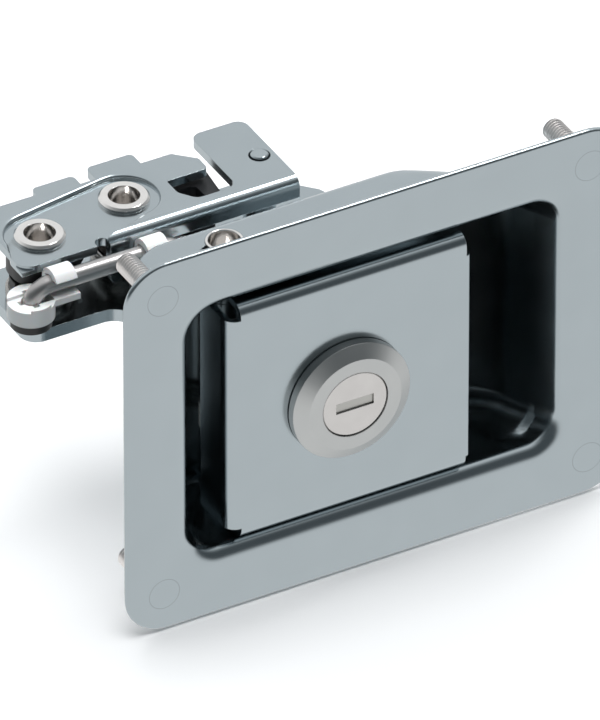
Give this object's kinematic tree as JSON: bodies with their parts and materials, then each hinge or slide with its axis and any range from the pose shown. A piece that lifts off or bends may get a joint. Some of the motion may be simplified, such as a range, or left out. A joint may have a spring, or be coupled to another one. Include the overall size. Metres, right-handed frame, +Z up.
{
  "type": "slam latch",
  "caption": "Flush slam latch: drawn dish with weld studs, folded paddle with cylinder lock, and a wire rod that pulls the trigger of a rotary latch behind it.",
  "frame": {"origin": "centre of the dish flange's back face, the plane that lies against the door skin", "axes": "+Y points into the panel, +X to the finger side of the paddle, +Z up"},
  "size_m": [0.1303, 0.0646, 0.093],
  "materials": {
    "zinc": "bright zinc plate",
    "zinc_dark": "zinc plate",
    "stainless": "bright",
    "satin_nickel": "satin",
    "spring_steel": "drawn wire",
    "black_coat": "black coating",
    "white_plastic": "moulded"
  },
  "bodies": {
    "housing": {"dish": "zinc", "weld_studs": "stainless", "pivot_tube": "stainless", "top_plate": "zinc", "bottom_bracket": "zinc", "hollow_rivets": "stainless", "trigger_sleeve": "zinc_dark", "rotor_sleeve": "zinc_dark", "spacer_pin": "stainless", "paddle_spring": "spring_steel", "pawl_spring": "spring_steel", "rotor_spring": "spring_steel"},
    "paddle": {"paddle": "zinc", "paddle_lever": "zinc_dark", "lock_housing": "satin_nickel", "lock_washer": "satin_nickel", "lock_nut": "zinc_dark"},
    "plug": {"lock_plug": "stainless", "key_shutter": "stainless", "lock_cam": "zinc_dark", "cam_screw": "zinc_dark"},
    "trigger": {"trigger_lever": "black_coat", "pawl": "black_coat"},
    "rod": {"pull_rod": "stainless", "clip_left": "white_plastic", "clip_right": "white_plastic"},
    "rotor": {"rotor": "black_coat"}
  },
  "joints": [
    {"name": "paddle_pull", "type": "hinge", "parent": "housing", "child": "paddle", "pos_m": [-0.026, 0.0175, 0], "axis": [0, 0, -1], "range_deg": [0, 30], "stiffness_Nm_per_rad": 0.02},
    {"name": "key_turn", "type": "hinge", "parent": "paddle", "child": "plug", "pos_m": [-0.0074, 0, -0.0013], "axis": [0, 1, 0], "range_deg": [0, 90]},
    {"name": "trigger_turn", "type": "hinge", "parent": "housing", "child": "trigger", "pos_m": [-0.0563, 0.0427, 0.018], "axis": [0, 0, 1], "range_deg": [0, 28]},
    {"name": "rod_swing", "type": "hinge", "parent": "trigger", "child": "rod", "pos_m": [-0.0652, 0.0301, 0.018], "axis": [0, 0, 1], "range_deg": [-23, 0]},
    {"name": "rotor_turn", "type": "hinge", "parent": "housing", "child": "rotor", "pos_m": [-0.0343, 0.0462, 0.023], "axis": [0, 0, 1], "range_deg": [0, 63]}
  ],
  "couplings": [
    {"joint": "trigger_turn", "follows": "paddle_pull", "ratio": 0.925},
    {"joint": "rod_swing", "follows": "paddle_pull", "ratio": -0.755},
    {"joint": "rotor_turn", "follows": "paddle_pull", "ratio": 2.08}
  ]
}
